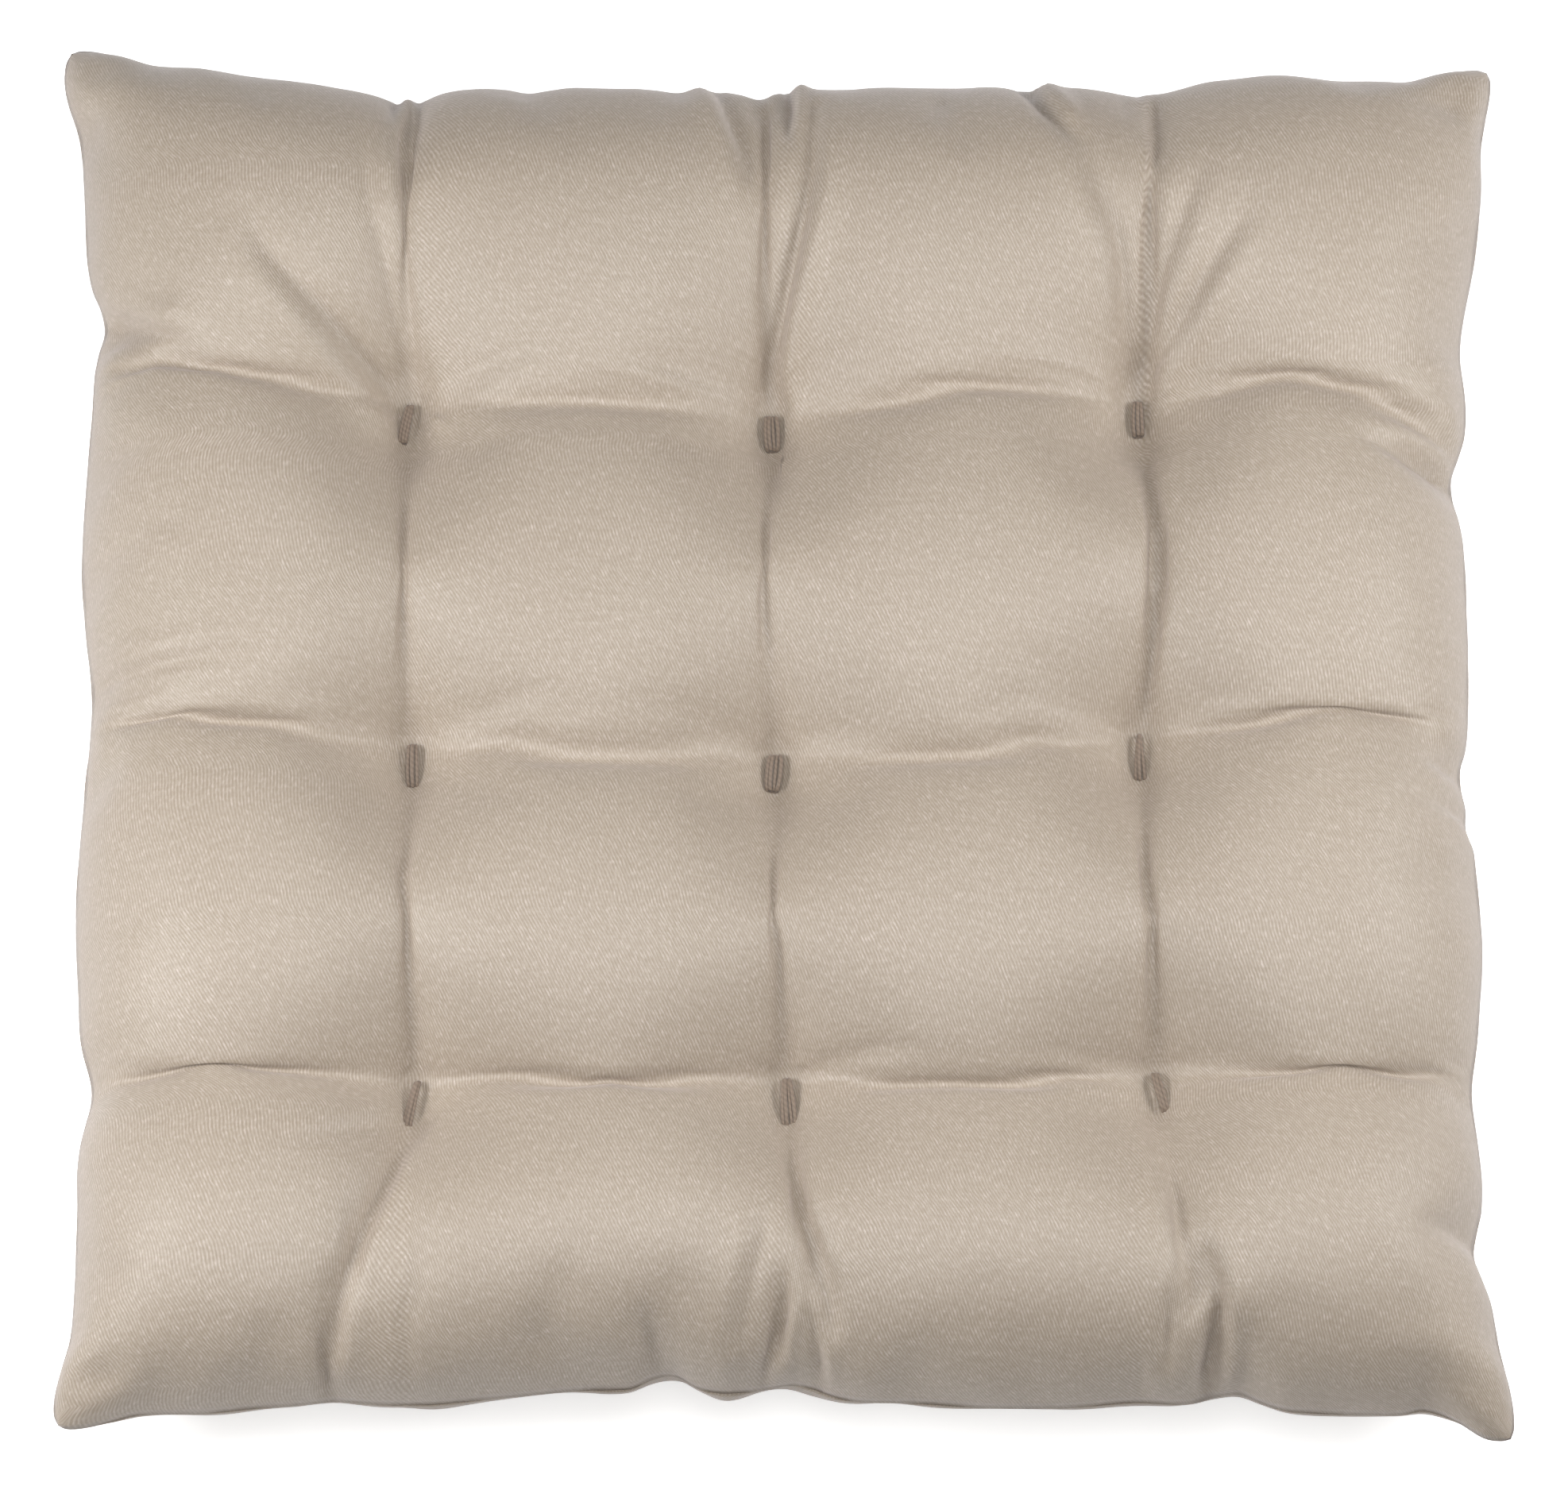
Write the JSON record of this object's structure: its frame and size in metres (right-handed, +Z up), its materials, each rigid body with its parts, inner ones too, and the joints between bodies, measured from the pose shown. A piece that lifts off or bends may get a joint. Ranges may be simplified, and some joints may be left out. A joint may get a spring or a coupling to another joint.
{
  "type": "chair seat pad",
  "caption": "Square knife-edge seat pad of sand-coloured twill, stuffed soft and tufted in rows with darker thread, with small pointed corner ears.",
  "frame": {"origin": "on the underside, below the middle of the pad, at the level of the surface it lies on", "axes": "+Z up through the pad's thickness, +Y to the rear side, +X to the right"},
  "size_m": [0.3986, 0.3986, 0.0674],
  "materials": {
    "twill": "matte",
    "fibre": "matte",
    "tuft_thread": "satin",
    "seam_thread": "satin"
  },
  "bodies": {
    "root": {"top_panel": "twill", "bottom_panel": "twill", "fibre_filling": "fibre", "tuft_thread_rear_left": "tuft_thread", "tuft_thread_rear_centre": "tuft_thread", "tuft_thread_rear_right": "tuft_thread", "tuft_thread_middle_left": "tuft_thread", "tuft_thread_middle_centre": "tuft_thread", "tuft_thread_middle_right": "tuft_thread", "tuft_thread_front_left": "tuft_thread", "tuft_thread_front_centre": "tuft_thread", "tuft_thread_front_right": "tuft_thread", "seam_needle_thread": "seam_thread", "seam_bobbin_thread": "seam_thread", "overlock_thread": "seam_thread", "closing_seam_thread": "seam_thread"}
  },
  "joints": []
}
